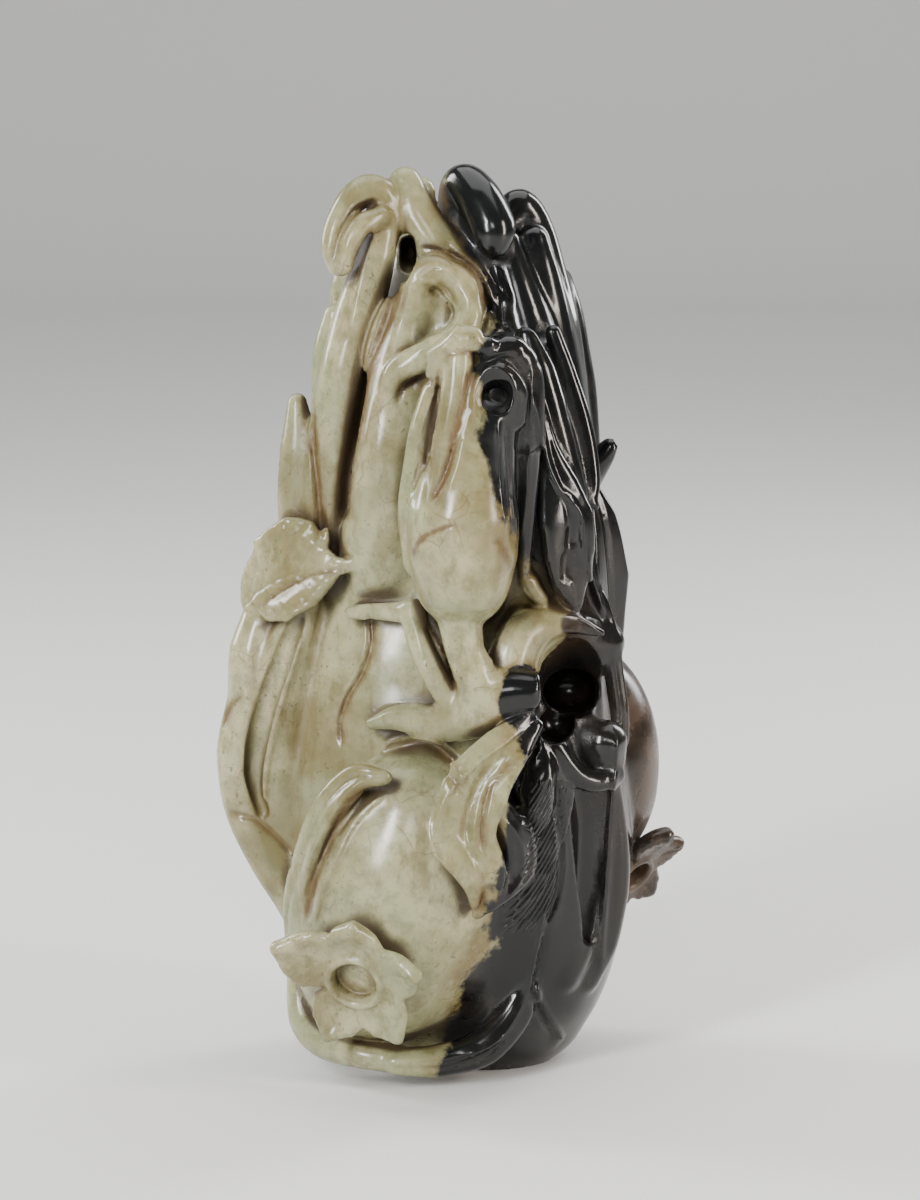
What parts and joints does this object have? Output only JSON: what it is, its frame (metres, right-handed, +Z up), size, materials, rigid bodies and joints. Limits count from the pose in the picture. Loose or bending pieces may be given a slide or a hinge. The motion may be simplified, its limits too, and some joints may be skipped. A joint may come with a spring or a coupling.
{
  "type": "finger citron carving",
  "caption": "Upright stone carving of a finger citron with curled fingers, a small citron, leafy branches and two pomegranates, resting on a small flat foot.",
  "frame": {"origin": "middle of the flat foot, on the surface the carving rests on", "axes": "+Z up along the fingers, -Y towards the viewer and the small citron, +X to the viewer's right"},
  "size_m": [0.0774, 0.0696, 0.149],
  "materials": {
    "jade": "polished grey-green and black jade"
  },
  "bodies": {
    "root": {"finger_citron_carving": "jade"}
  },
  "joints": []
}
